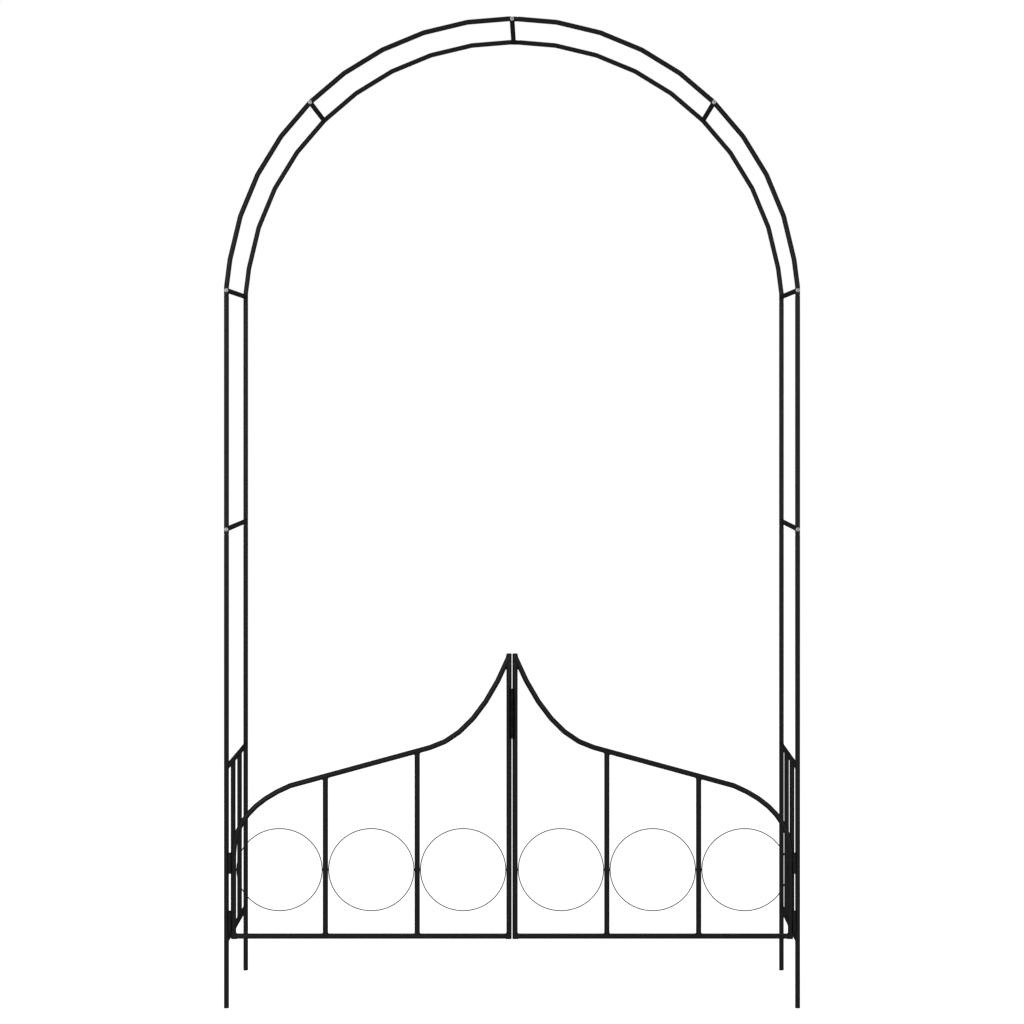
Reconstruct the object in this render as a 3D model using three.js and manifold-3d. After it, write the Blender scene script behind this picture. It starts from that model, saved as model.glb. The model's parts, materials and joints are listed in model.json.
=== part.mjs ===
// A garden arch with a gate. Two tubular hoops stand one behind the other and are tied together
// by seven crossbars, a barred panel fills the foot of each side, and a gate of two leaves hangs
// on the front posts. Millimetres: X is the width, Y runs from the front to the rear, Z is up,
// and the origin is on the ground in the middle of the four feet. Left is the viewer's left.

import * as THREE from 'three';
import { mergeVertices } from 'three/addons/utils/BufferGeometryUtils.js';
import Module from 'manifold-3d';

const wasm = await Module();
wasm.setup();

// Hoops
const hoopSpan = 1368.6; // between the centre lines of a hoop's two posts
const hoopDepth = 389; // between the centre planes of the two hoops
const postDiameter = 12;
const postWall = 0.8;
const footThickness = 3; // closed end that stands on the ground
const springHeight = 1686; // ground to the centre of the arched top
const lowerJointHeight = 1147; // bolt through the lower and the upper post
const jointAboveSpring = 33.6; // bolt through the upper post and the arc
const bendsPerQuarter = 10; // the arch is bent in short straights

// Slip joints: the narrowed end of one tube sits in the mouth of the next
const mouthDepth = 12; // bolt to the rim of the outer tube
const spigotReach = 8; // bolt to the end of the inner tube
const swageLength = 2; // stretch over which the inner tube narrows
const slipClearance = 0.3;
const kneeRoom = 2; // full tube between the crown's swage and the bend before it
const crownLiftShare = 0.5; // how far the crown joint is lifted into the corner that it cuts

// Crossbars and the bolts that run through them
const crossbarDiameter = 12;
const crossbarWall = 0.8;
const boltDiameter = 4;
const boltHeadDiameter = 10;
const boltHeadHeight = 3;
const nutAcross = 8; // over the corners of the hexagon
const nutHeight = 3.6;
const nutCapHeight = 3;
const boltClearance = 0.3;

// Side panels
const panelTubeDiameter = 12;
const panelTubeWall = 0.8;
const panelBottomHeight = 161.5;
const panelHeight = 414; // between the centre lines of the two rails
const panelBars = 2;

// Gate leaves
const gateTubeDiameter = 12.7;
const gateTubeWall = 0.8;
const hangingGap = 4.75; // between a front post and the leaf's outer stile
const meetingGap = 1.7; // between the two inner stiles
const gateBottomHeight = 172;
const leafBars = 2;
const ringRise = 159.2; // bottom rail to the middle of the rings
const ringOvalShare = 0.963; // height of a ring to its width
const ringWire = 2.4;
const shoulderRise = 164.2; // middle of the rings to where the sloping flank would meet the stile
const flankAngle = 15.26;
const shoulderDrop = 127.7; // that meeting point down to where the stile starts to bend
const shoulderReach = 135.8; // outer stile to where the shoulder passes into the flank
const shoulderPullDrop = 19; // meeting point down to the corner that pulls the shoulder's curve
const sweepReach = 189; // inner stile to where the hollow sweep leaves the flank
const sweepPullReach = 78; // inner stile to the corner that pulls the sweep's curve
const sweepRise = 346.6; // meeting point up to the sweep's end in the inner stile
const stileTopRise = 7.1; // sweep's end to the inner stile's closed top
const stileTopThickness = 2;

// Hinges: the leaf's knuckle drops over a pin that stands on the post's knuckle
const knuckleDiameter = 8;
const knuckleHeight = 25;
const knuckleChamfer = 0.8;
const knuckleCap = 3;
const pinDiameter = 4.5;
const pinClearance = 0.3;
const lowerHingeRise = 37; // bottom rail to the middle of the lower hinge
const upperHingeDrop = 19.9; // start of the shoulder's bend to the middle of the upper hinge

// Latch plates with an eye for a padlock
const latchThickness = 1.2;
const latchReach = 22;
const latchHeight = 120;
const latchDrop = 83; // top of the inner stile to the top of the plate
const latchCorner = 5;
const latchEye = 9;
const latchRim = 5;
const latchGap = 0.8; // between the two plates

// Welded tubes stop this far short of each other, and every cut runs this far past its piece
const weldGap = 0.3;
const overrun = 6;

// Facets
const tubeSides = 10;
const wireSides = 6;
const holeSides = 8;
const nutSides = 6;
const ringSides = 24;
const domeSteps = 3;
const shoulderSteps = 8;
const sweepSteps = 6;

const archRadius = hoopSpan / 2;
const postRadius = postDiameter / 2;
const spigotRadius = postRadius - postWall - slipClearance;
const gateRadius = gateTubeDiameter / 2;
const frontPlane = -hoopDepth / 2;
const upperJointHeight = springHeight + jointAboveSpring;
const up = new THREE.Vector3(0, 0, 1);

const blackCoat = () => new THREE.MeshStandardMaterial({ color: 0x1b1c1d, roughness: 0.42, metalness: 0.1 });
const zincPlate = () => new THREE.MeshStandardMaterial({ color: 0xb4b6b8, roughness: 0.35, metalness: 0.9 });

// Solids: a closed geometry becomes a solid that can be joined and cut, and a solid becomes a geometry

function solidOf(geometry) {
  const bare = geometry.clone();
  bare.deleteAttribute('normal');
  bare.deleteAttribute('uv');
  const merged = mergeVertices(bare);
  const corners = merged.index.array;
  const kept = [];
  for (let i = 0; i < corners.length; i += 3) {
    const [a, b, c] = corners.slice(i, i + 3);
    if (a !== b && b !== c && c !== a) kept.push(a, b, c);
  }
  const vertProperties = new Float32Array(merged.attributes.position.array);
  return new wasm.Manifold(new wasm.Mesh({ numProp: 3, vertProperties, triVerts: new Uint32Array(kept) }));
}

function geometryOf(solid) {
  const { vertProperties, triVerts } = solid.getMesh();
  const geometry = new THREE.BufferGeometry();
  geometry.setAttribute('position', new THREE.BufferAttribute(new Float32Array(vertProperties), 3));
  geometry.setIndex(new THREE.BufferAttribute(new Uint32Array(triVerts), 1));
  const faceted = geometry.toNonIndexed();
  faceted.computeVertexNormals();
  return faceted;
}

const cut = (solid, ...tools) => tools.reduce((left, tool) => left.subtract(tool), solid);

// A faceted hole or cutter clears a round radius only if its flats, not its corners, lie on it
const clearing = (radius, sides) => radius / Math.cos(Math.PI / sides);

// Turned form along +Z from [radius, height] pairs
function turned(profile, sides = tubeSides) {
  const points = profile.map(([radius, height]) => new THREE.Vector2(radius, height));
  return new THREE.LatheGeometry(points, sides).rotateX(Math.PI / 2);
}

// Moves a form that stands on the origin along +Z so that it starts at one point and aims at another
function aimed(geometry, from, to) {
  const turn = new THREE.Quaternion().setFromUnitVectors(up, to.clone().sub(from).normalize());
  return geometry.applyQuaternion(turn).translate(from.x, from.y, from.z);
}

function straightTube(from, to, radius, wall) {
  const length = from.distanceTo(to);
  const bore = radius - wall;
  const profile = [[bore, 0], [radius, 0], [radius, length], [bore, length], [bore, 0]];
  return solidOf(aimed(turned(profile), from, to));
}

// Solid rod past both ends of a stretch: it cuts holes, and the seats of tubes that meet a tube
function straightCutter(from, to, radius, sides = tubeSides) {
  const length = from.distanceTo(to) + 2 * overrun;
  const start = from.clone().sub(to).normalize().multiplyScalar(overrun).add(from);
  const profile = [[0, 0], [clearing(radius, sides), 0], [clearing(radius, sides), length], [0, length]];
  return solidOf(aimed(turned(profile, sides), start, to));
}

// A run of tube through its corner points. The sweep has a ring at each corner, turned halfway
// between the two straights that meet there.
class TubeRun extends THREE.Curve {
  constructor(corners) {
    super();
    this.corners = corners;
  }

  get steps() {
    return this.corners.length - 1;
  }

  getPointAt(share, target = new THREE.Vector3()) {
    const place = share * this.steps;
    const before = Math.min(Math.floor(place), this.steps - 1);
    return target.lerpVectors(this.corners[before], this.corners[before + 1], place - before);
  }

  getTangentAt(share, target = new THREE.Vector3()) {
    const corner = Math.round(share * this.steps);
    const before = this.corners[Math.max(corner - 1, 0)];
    const here = this.corners[corner];
    const after = this.corners[Math.min(corner + 1, this.steps)];
    const arriving = here.clone().sub(before).normalize();
    return target.copy(after).sub(here).normalize().add(arriving).normalize();
  }
}

function circle(radius) {
  return new THREE.Path().absarc(0, 0, radius, 0, 2 * Math.PI);
}

function sweptTube(run, radius, wall) {
  const section = new THREE.Shape(circle(radius).getPoints(tubeSides / 2));
  if (wall) section.holes.push(circle(radius - wall));
  const settings = { steps: run.steps, curveSegments: tubeSides / 2, extrudePath: run };
  return solidOf(new THREE.ExtrudeGeometry(section, settings));
}

// The hoop's centre line, in its own plane

const inPlane = (x, z) => new THREE.Vector3(x, 0, z);

// Corner of the arched top, counted from the left spring over the crown to the right one
function archCorner(index) {
  const angle = (Math.PI / 2) * (index / bendsPerQuarter);
  return inPlane(-archRadius * Math.cos(angle), springHeight + archRadius * Math.sin(angle));
}

const elbowHeight = upperJointHeight + spigotReach + slipClearance;

// The slip joint at the crown is straight. It cuts the corner of the arch's two middle legs, from
// a knee on the left leg past the spigot's end to a knee on the right leg before the swage.
const crownCorner = archCorner(bendsPerQuarter);
const leftKneeDistance = spigotReach + slipClearance;
const rightKneeDistance = mouthDepth + slipClearance + 2 * swageLength + kneeRoom;

function kneeOnLeg(step, distance) {
  const leg = archCorner(bendsPerQuarter + step).sub(crownCorner);
  return leg.setLength(distance).add(crownCorner);
}

const leftKnee = kneeOnLeg(-1, leftKneeDistance);
const rightKnee = kneeOnLeg(1, rightKneeDistance);
const kneeSlope = (rightKnee.z - leftKnee.z) / (rightKnee.x - leftKnee.x);
const kneeLineHeight = leftKnee.z - kneeSlope * leftKnee.x;

// The joint is lifted part of the way to the corner, and its bolt sits in the middle plane
const crown = inPlane(0, kneeLineHeight + (crownCorner.z - kneeLineHeight) * crownLiftShare);
const crownAim = leftKnee.clone().sub(rightKnee).normalize();
const pastCrown = (distance) => crown.clone().addScaledVector(crownAim, distance);

function arcCorners(side) {
  const corners = [];
  for (let bend = 1; bend < bendsPerQuarter; bend += 1) {
    corners.push(archCorner(side < 0 ? bend : 2 * bendsPerQuarter - bend));
  }
  return corners;
}

const leftArcRun = [
  inPlane(-archRadius, upperJointHeight - mouthDepth),
  inPlane(-archRadius, elbowHeight),
  ...arcCorners(-1),
  pastCrown(leftKneeDistance),
  pastCrown(-mouthDepth),
];

const rightArcRun = [
  inPlane(archRadius, upperJointHeight - mouthDepth),
  inPlane(archRadius, elbowHeight),
  ...arcCorners(1),
  pastCrown(-rightKneeDistance),
  pastCrown(-mouthDepth - slipClearance - swageLength),
];

const tieBend = Math.round(bendsPerQuarter / 2);
const tiePoints = {
  left_low: inPlane(-archRadius, lowerJointHeight),
  left_high: inPlane(-archRadius, upperJointHeight),
  left_arc: archCorner(tieBend),
  crown,
  right_arc: archCorner(2 * bendsPerQuarter - tieBend),
  right_high: inPlane(archRadius, upperJointHeight),
  right_low: inPlane(archRadius, lowerJointHeight),
};

// Everything that a crossbar or a panel rail must stop short of, as one rod along a whole hoop
function hoopSeat(plane) {
  const corners = [inPlane(-archRadius, 0), ...leftArcRun.slice(1), ...rightArcRun.slice(1, -1).reverse()];
  const run = new TubeRun([...corners, inPlane(archRadius, 0)]);
  run.corners = run.corners.map((corner) => corner.clone().setY(plane));
  return sweptTube(run, clearing(postRadius + weldGap, tubeSides));
}

const frontSeat = hoopSeat(frontPlane);
const rearSeat = hoopSeat(-frontPlane);

function boltHole(point) {
  const from = point.clone().setY(-postRadius);
  const to = point.clone().setY(postRadius);
  return straightCutter(from, to, boltDiameter / 2 + boltClearance, holeSides);
}

// Post from its profile's lower end up to a narrowed spigot that ends past the joint's bolt
function spigotTop(jointHeight) {
  const rim = jointHeight - mouthDepth - slipClearance;
  const end = jointHeight + spigotReach;
  return [
    [postRadius, rim - swageLength],
    [spigotRadius, rim],
    [spigotRadius, end],
    [spigotRadius - postWall, end],
    [spigotRadius - postWall, rim],
    [postRadius - postWall, rim - swageLength],
  ];
}

function lowerPost() {
  const bore = postRadius - postWall;
  const foot = [[0, 0], [postRadius, 0]];
  const floor = [[bore, footThickness], [0, footThickness]];
  const post = solidOf(turned([...foot, ...spigotTop(lowerJointHeight), ...floor]));
  return cut(post, boltHole(inPlane(0, lowerJointHeight)));
}

function upperPost() {
  const bore = postRadius - postWall;
  const mouth = lowerJointHeight - mouthDepth;
  const profile = [[bore, mouth], [postRadius, mouth], ...spigotTop(upperJointHeight), [bore, mouth]];
  const holes = [lowerJointHeight, upperJointHeight].map((height) => boltHole(inPlane(0, height)));
  return cut(solidOf(turned(profile)), ...holes);
}

function leftArc() {
  const tube = sweptTube(new TubeRun(leftArcRun), postRadius, postWall);
  return cut(tube, boltHole(tiePoints.left_high), boltHole(tiePoints.left_arc), boltHole(crown));
}

// The right arc's spigot grows out of the wall of its last straight
function rightArc() {
  const tube = sweptTube(new TubeRun(rightArcRun), postRadius, postWall);
  const skin = postWall / tubeSides;
  const end = swageLength + slipClearance + mouthDepth + spigotReach;
  const spigot = turned([
    [postRadius - postWall + skin, 0],
    [postRadius - skin, 0],
    [postRadius - skin, swageLength],
    [spigotRadius, 2 * swageLength],
    [spigotRadius, end + swageLength],
    [spigotRadius - postWall, end + swageLength],
    [spigotRadius - postWall, 2 * swageLength],
    [postRadius - postWall + skin, swageLength],
    [postRadius - postWall + skin, 0],
  ]);
  const start = pastCrown(-mouthDepth - slipClearance - 2 * swageLength);
  const joined = tube.add(solidOf(aimed(spigot, start, crown)));
  return cut(joined, boltHole(tiePoints.right_high), boltHole(tiePoints.right_arc), boltHole(crown));
}

function crossbar(point) {
  const from = point.clone().setY(frontPlane);
  const to = point.clone().setY(-frontPlane);
  return cut(straightTube(from, to, crossbarDiameter / 2, crossbarWall), frontSeat, rearSeat);
}

// Domed profile points from the rim to the tip, or back, on the axis of a turned form
function dome(radius, base, height) {
  const points = [];
  for (let step = 0; step <= domeSteps; step += 1) {
    const angle = (Math.PI / 2) * (step / domeSteps);
    points.push([radius * Math.cos(angle), base + height * Math.sin(angle)]);
  }
  points[domeSteps][0] = 0;
  return points;
}

// Bolt from a domed head in front, through both hoops and the crossbar, to a capped nut behind
function tieBolt() {
  const seat = postRadius + boltClearance;
  const head = dome(boltHeadDiameter / 2, 0, -boltHeadHeight).reverse();
  const nutBase = hoopDepth + 2 * seat;
  const nutMiddle = nutBase + nutHeight / 2;
  const shank = [[boltDiameter / 2, 0], [boltDiameter / 2, nutMiddle], [0, nutMiddle]];
  const bolt = solidOf(turned([...head, ...shank]));
  const nut = new THREE.CylinderGeometry(nutAcross / 2, nutAcross / 2, nutHeight, nutSides);
  nut.rotateX(Math.PI / 2).translate(0, 0, nutMiddle);
  const capRadius = (nutAcross / 2) * Math.cos(Math.PI / nutSides);
  const cap = [[0, nutMiddle], [capRadius, nutMiddle]];
  const cover = solidOf(turned([...cap, ...dome(capRadius, nutBase + nutHeight, nutCapHeight)]));
  const whole = geometryOf(bolt.add(solidOf(nut)).add(cover));
  return solidOf(aimed(whole, new THREE.Vector3(0, frontPlane - seat, 0), new THREE.Vector3()));
}

// Side panels, built in place on the left or the right

function sidePanel(side) {
  const x = side * archRadius;
  const radius = panelTubeDiameter / 2;
  const seatRadius = radius + weldGap;
  const at = (y, z) => new THREE.Vector3(x, y, z);
  const levels = [panelBottomHeight, panelBottomHeight + panelHeight];
  const [bottomRail, topRail] = levels.map((z) => {
    const rail = straightTube(at(frontPlane, z), at(-frontPlane, z), radius, panelTubeWall);
    return cut(rail, frontSeat, rearSeat);
  });
  const seats = levels.map((z) => straightCutter(at(frontPlane, z), at(-frontPlane, z), seatRadius));
  const bars = [];
  for (let bar = 1; bar <= panelBars; bar += 1) {
    const y = frontPlane + (hoopDepth * bar) / (panelBars + 1);
    bars.push(cut(straightTube(at(y, levels[0]), at(y, levels[1]), radius, panelTubeWall), ...seats));
  }
  return { bottomRail, topRail, bars };
}

// Gate leaves. Each is built in its own frame: x is 0 at the outer stile and grows towards the
// inner stile, y is 0 in the gate's plane, and z is the height above the ground. The right leaf
// has its x turned round.

const degrees = Math.PI / 180;
const flankSlope = Math.tan(flankAngle * degrees);
const stileOffset = postRadius + hangingGap + gateRadius;
const leafWidth = archRadius - stileOffset - meetingGap / 2 - gateRadius;
const bayWidth = leafWidth / (leafBars + 1);
const leafFoot = gateBottomHeight - gateRadius;
const ringMiddle = gateBottomHeight + ringRise;
const flankFoot = ringMiddle + shoulderRise;
const shoulderStart = flankFoot - shoulderDrop;
const inLeaf = (x, z) => new THREE.Vector2(x, z);
const onFlank = (x) => inLeaf(x, flankFoot + flankSlope * x);

// Outline of the bent tube: up the outer stile, round the shoulder, along the flank and up the
// hollow sweep. Shoulder and sweep follow parabolas, bent in short straights as the arch is.
function leafOutline() {
  const shoulder = new THREE.QuadraticBezierCurve(
    inLeaf(0, shoulderStart), inLeaf(0, flankFoot - shoulderPullDrop), onFlank(shoulderReach));
  const sweepEnd = inLeaf(leafWidth, flankFoot + sweepRise);
  const sweep = new THREE.QuadraticBezierCurve(
    onFlank(leafWidth - sweepReach), onFlank(leafWidth - sweepPullReach), sweepEnd);
  const bends = [...shoulder.getPoints(shoulderSteps), ...sweep.getPoints(sweepSteps)];
  return [inLeaf(0, leafFoot), ...bends].map((corner) => corner.toArray());
}

const outline = leafOutline();
const stileTop = outline[outline.length - 1][1] + stileTopRise;

// Height of the bent tube's centre line above a place along the leaf
function railHeight(x) {
  const after = outline.findIndex(([cornerX]) => cornerX > x);
  const [[x0, z0], [x1, z1]] = [outline[after - 1], outline[after]];
  return z0 + ((z1 - z0) * (x - x0)) / (x1 - x0);
}

// The hinge's axis nests in the groove in front of the post and the stile, a weld away from both
const postToAxis = postRadius + knuckleDiameter / 2 + weldGap;
const stileToAxis = gateRadius + knuckleDiameter / 2 + weldGap;
const axisFromPost = (stileOffset ** 2 + postToAxis ** 2 - stileToAxis ** 2) / (2 * stileOffset);
const axisForward = Math.sqrt(postToAxis ** 2 - axisFromPost ** 2);
const hingeHeights = {
  lower: gateBottomHeight + lowerHingeRise,
  upper: shoulderStart - upperHingeDrop,
};

function hingePintle() {
  const radius = knuckleDiameter / 2;
  const pin = pinDiameter / 2;
  const top = -pinClearance / 2;
  const pinTop = knuckleHeight - knuckleCap - pinClearance;
  return solidOf(turned([
    [0, -knuckleHeight],
    [radius - knuckleChamfer, -knuckleHeight],
    [radius, -knuckleHeight + knuckleChamfer],
    [radius, top],
    [pin, top],
    [pin, pinTop - knuckleChamfer],
    [pin - knuckleChamfer, pinTop],
    [0, pinTop],
  ]));
}

function hingeKnuckle() {
  const radius = knuckleDiameter / 2;
  const bore = clearing(pinDiameter / 2 + pinClearance, tubeSides);
  const foot = pinClearance / 2;
  return solidOf(turned([
    [bore, foot],
    [radius, foot],
    [radius, knuckleHeight - knuckleChamfer],
    [radius - knuckleChamfer, knuckleHeight],
    [0, knuckleHeight],
    [0, knuckleHeight - knuckleCap],
    [bore, knuckleHeight - knuckleCap],
    [bore, foot],
  ]));
}

// Plate with rounded front corners and an eye, welded to the inner stile's front quarter
function latchPlate(hand) {
  const outerFace = gateRadius + (meetingGap - latchGap) / 2;
  const innerFace = outerFace - latchThickness;
  const back = Math.sqrt(Math.max((gateRadius + weldGap) ** 2 - innerFace ** 2, 0));
  const tip = back + latchReach;
  const plate = new THREE.Shape();
  plate.moveTo(back, 0);
  plate.lineTo(tip - latchCorner, 0);
  plate.absarc(tip - latchCorner, latchCorner, latchCorner, -Math.PI / 2, 0);
  plate.absarc(tip - latchCorner, latchHeight - latchCorner, latchCorner, 0, Math.PI / 2);
  plate.lineTo(back, latchHeight);
  const eye = new THREE.Path();
  eye.absarc(tip - latchRim - latchEye / 2, latchHeight / 2, latchEye / 2, 0, 2 * Math.PI);
  plate.holes.push(eye);
  const settings = { depth: latchThickness, bevelEnabled: false, curveSegments: domeSteps + 1 };
  const forward = new THREE.Vector3(0, -1, 0);
  const sideways = new THREE.Vector3(-1, 0, 0);
  const stand = new THREE.Matrix4().makeBasis(forward, up, sideways);
  const rightFace = hand > 0 ? leafWidth + outerFace : -leafWidth - innerFace;
  const geometry = new THREE.ExtrudeGeometry(plate, settings).applyMatrix4(stand);
  return solidOf(geometry.translate(rightFace, 0, stileTop - latchDrop - latchHeight));
}

// Wire ring, turned flat and pressed slightly oval, that touches the tubes on both sides of its bay
function leafRing() {
  const halfWire = ringWire / 2;
  const radius = (bayWidth - gateTubeDiameter) / 2 - weldGap - halfWire;
  const profile = [];
  for (let side = 0; side <= wireSides; side += 1) {
    const angle = (2 * Math.PI * side) / wireSides;
    profile.push([radius + halfWire * Math.cos(angle), halfWire * Math.sin(angle)]);
  }
  return solidOf(turned(profile, ringSides).rotateX(Math.PI / 2).scale(1, 1, ringOvalShare));
}

function leafPieces(hand) {
  const at = ([x, z]) => inPlane(hand * x, z);
  const run = new TubeRun(outline.map(at));
  const seatRadius = gateRadius + weldGap;
  const stileFoot = at([leafWidth, leafFoot]);
  const stileSeat = straightCutter(stileFoot, at([leafWidth, stileTop]), seatRadius);
  const frameSeat = sweptTube(run, clearing(seatRadius, tubeSides));
  const railEnds = [at([0, gateBottomHeight]), at([leafWidth, gateBottomHeight])];
  const railSeat = straightCutter(...railEnds, seatRadius);
  const bore = gateRadius - gateTubeWall;
  const stileBore = stileTop - stileTopThickness;
  const stile = [[bore, leafFoot], [gateRadius, leafFoot], [gateRadius, stileTop], [0, stileTop]];
  const bars = [];
  for (let bar = 1; bar <= leafBars; bar += 1) {
    const x = bayWidth * bar;
    const tube = straightTube(at([x, gateBottomHeight]), at([x, railHeight(x)]), gateRadius, gateTubeWall);
    bars.push(cut(tube, railSeat, frameSeat));
  }
  return {
    frameTube: cut(sweptTube(run, gateRadius, gateTubeWall), stileSeat),
    innerStile: solidOf(turned([...stile, [0, stileBore], [bore, stileBore], [bore, leafFoot]])),
    bottomRail: cut(straightTube(...railEnds, gateRadius, gateTubeWall), frameSeat, stileSeat),
    bars,
  };
}

// Assembly

function addPiece(group, name, solid, material, x = 0, y = 0, z = 0) {
  const mesh = new THREE.Mesh(geometryOf(solid), material());
  mesh.name = name;
  mesh.position.set(x, y, z);
  group.add(mesh);
}

function hoop(name, plane) {
  const group = new THREE.Group();
  group.position.y = plane;
  for (const [sideName, side] of [['left', -1], ['right', 1]]) {
    const x = side * archRadius;
    addPiece(group, `${name}_${sideName}_lower_post`, lowerPost(), blackCoat, x);
    addPiece(group, `${name}_${sideName}_upper_post`, upperPost(), blackCoat, x);
    addPiece(group, `${name}_${sideName}_arc`, side < 0 ? leftArc() : rightArc(), blackCoat);
  }
  return group;
}

function ties() {
  const group = new THREE.Group();
  for (const [name, point] of Object.entries(tiePoints)) {
    addPiece(group, `crossbar_${name}`, crossbar(point), blackCoat);
    addPiece(group, `tie_bolt_${name}`, tieBolt(), zincPlate, point.x, 0, point.z);
  }
  return group;
}

function panel(sideName, side) {
  const group = new THREE.Group();
  const { bottomRail, topRail, bars } = sidePanel(side);
  addPiece(group, `${sideName}_panel_bottom_rail`, bottomRail, blackCoat);
  addPiece(group, `${sideName}_panel_top_rail`, topRail, blackCoat);
  bars.forEach((bar, index) => addPiece(group, `${sideName}_panel_bar_${index + 1}`, bar, blackCoat));
  return group;
}

function leaf(sideName, hand) {
  const group = new THREE.Group();
  group.position.set(-hand * (archRadius - stileOffset), frontPlane, 0);
  const { frameTube, innerStile, bottomRail, bars } = leafPieces(hand);
  const add = (name, ...rest) => addPiece(group, `${sideName}_leaf_${name}`, ...rest);
  add('frame_tube', frameTube, blackCoat);
  add('inner_stile', innerStile, blackCoat, hand * leafWidth);
  add('bottom_rail', bottomRail, blackCoat);
  bars.forEach((bar, index) => add(`bar_${index + 1}`, bar, blackCoat));
  for (let ring = 0; ring <= leafBars; ring += 1) {
    add(`ring_${ring + 1}`, leafRing(), blackCoat, hand * bayWidth * (ring + 1 / 2), 0, ringMiddle);
  }
  const axisX = hand * (axisFromPost - stileOffset);
  for (const [level, height] of Object.entries(hingeHeights)) {
    add(`${level}_hinge_knuckle`, hingeKnuckle(), blackCoat, axisX, -axisForward, height);
    const pintleName = `${sideName}_post_${level}_hinge_pintle`;
    addPiece(group, pintleName, hingePintle(), blackCoat, axisX, -axisForward, height);
  }
  add('latch_plate', latchPlate(hand), blackCoat);
  return group;
}

const gardenArch = new THREE.Group();
gardenArch.name = 'garden_arch_with_gate';
gardenArch.add(hoop('front', frontPlane), hoop('rear', -frontPlane), ties());
gardenArch.add(panel('left', -1), panel('right', 1), leaf('left', 1), leaf('right', -1));

export default gardenArch;
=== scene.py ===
import json

import bpy
import numpy as np
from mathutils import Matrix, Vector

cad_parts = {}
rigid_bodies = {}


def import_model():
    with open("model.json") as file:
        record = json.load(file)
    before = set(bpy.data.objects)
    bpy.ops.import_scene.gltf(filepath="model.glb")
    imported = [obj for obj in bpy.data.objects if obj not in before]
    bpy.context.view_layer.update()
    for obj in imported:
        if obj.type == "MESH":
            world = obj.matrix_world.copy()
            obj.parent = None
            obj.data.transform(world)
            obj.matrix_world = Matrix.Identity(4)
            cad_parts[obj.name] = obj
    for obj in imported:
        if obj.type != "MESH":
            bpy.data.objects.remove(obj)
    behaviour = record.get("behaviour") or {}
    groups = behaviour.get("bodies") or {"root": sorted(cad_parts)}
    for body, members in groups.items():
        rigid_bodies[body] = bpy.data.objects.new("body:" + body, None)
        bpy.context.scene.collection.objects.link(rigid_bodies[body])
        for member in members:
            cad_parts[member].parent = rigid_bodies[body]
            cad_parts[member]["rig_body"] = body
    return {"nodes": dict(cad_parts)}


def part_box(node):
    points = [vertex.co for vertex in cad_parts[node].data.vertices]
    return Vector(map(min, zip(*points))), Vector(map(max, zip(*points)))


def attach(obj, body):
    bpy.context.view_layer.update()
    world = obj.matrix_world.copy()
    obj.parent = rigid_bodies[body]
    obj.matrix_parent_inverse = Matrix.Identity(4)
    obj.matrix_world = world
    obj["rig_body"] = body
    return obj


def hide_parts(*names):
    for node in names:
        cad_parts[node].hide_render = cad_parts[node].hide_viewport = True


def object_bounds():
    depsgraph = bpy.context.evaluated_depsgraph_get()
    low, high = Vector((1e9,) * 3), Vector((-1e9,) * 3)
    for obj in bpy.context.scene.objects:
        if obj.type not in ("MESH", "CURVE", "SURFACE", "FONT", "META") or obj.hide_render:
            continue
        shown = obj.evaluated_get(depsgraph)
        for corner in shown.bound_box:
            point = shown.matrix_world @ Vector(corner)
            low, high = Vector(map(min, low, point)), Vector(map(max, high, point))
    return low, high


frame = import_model()
cad_low, cad_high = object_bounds()

# Tubes and their slip joints
TUBE_WALL = 0.0008
FOOT_THICKNESS = 0.003
STILE_TOP_THICKNESS = 0.002
SWAGE_LENGTH = 0.002
SLIP_CLEARANCE = 0.0003
WELD_GAP = 0.0001
BENDS_PER_QUARTER = 10
BEND_RADIUS = 0.045
KNEE_ROOM = 0.002

# Bent tube of a gate leaf. The flank foot is the point where the sloping flank would meet the
# outer stile: it lies the shoulder's rise above the middle of the rings, and heights start there.
# Reaches run inwards from the outer stile for the shoulder and from the inner one for the sweep.
FLANK_SLOPE = np.tan(np.radians(15.26))
SHOULDER_RISE = 0.1642
SHOULDER_DROP = 0.1277
SHOULDER_PULL_DROP = 0.019
SHOULDER_REACH = 0.1358
SWEEP_REACH = 0.189
SWEEP_PULL_REACH = 0.078
SWEEP_RISE = 0.3466
SHOULDER_STEPS = 8
SWEEP_STEPS = 6

# Rounding of edges, and the plain row beside each that keeps long walls evenly shaded
RIM_ROUNDING = 0.0002
SWAGE_ROUNDING = 0.0009
FOOT_ROUNDING = 0.0008
SUPPORT = 0.0006
SUPPORT_SHARE = 0.05
SIDE_SHARE = 0.45
SHARP_ANGLE = np.radians(38)

# Tie bolts
SHANK_RADIUS = 0.002
HEAD_RADIUS = 0.005
HEAD_HEIGHT = 0.003
HEAD_ROUNDNESS = 2.5
RECESS_DEPTH = 0.002
RECESS_ARM = 0.0026
RECESS_HALF_WIDTH = 0.0007
NUT_CORNER_RADIUS = 0.004
NUT_HEIGHT = 0.0036
NUT_CHAMFER = 0.0005
NUT_CAP_HEIGHT = 0.003
NUT_SIDES = 6

# Hinges and latch plates
PIN_RADIUS = 0.00225
PIN_CLEARANCE = 0.0003
KNUCKLE_CAP = 0.003
KNUCKLE_ROUNDING = 0.0008
LATCH_CORNER = 0.005
LATCH_EYE_RADIUS = 0.0045
LATCH_RIM = 0.005
LATCH_ROUNDING = 0.00025
LATCH_STITCHES = 3
BUFFER_DEPTH = 0.005
BUFFER_INSET = 0.001
BUFFER_ROUNDING = 0.0003
BUFFER_SEAT = 0.0001
BUFFER_CLEARANCE = 0.00001

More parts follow.
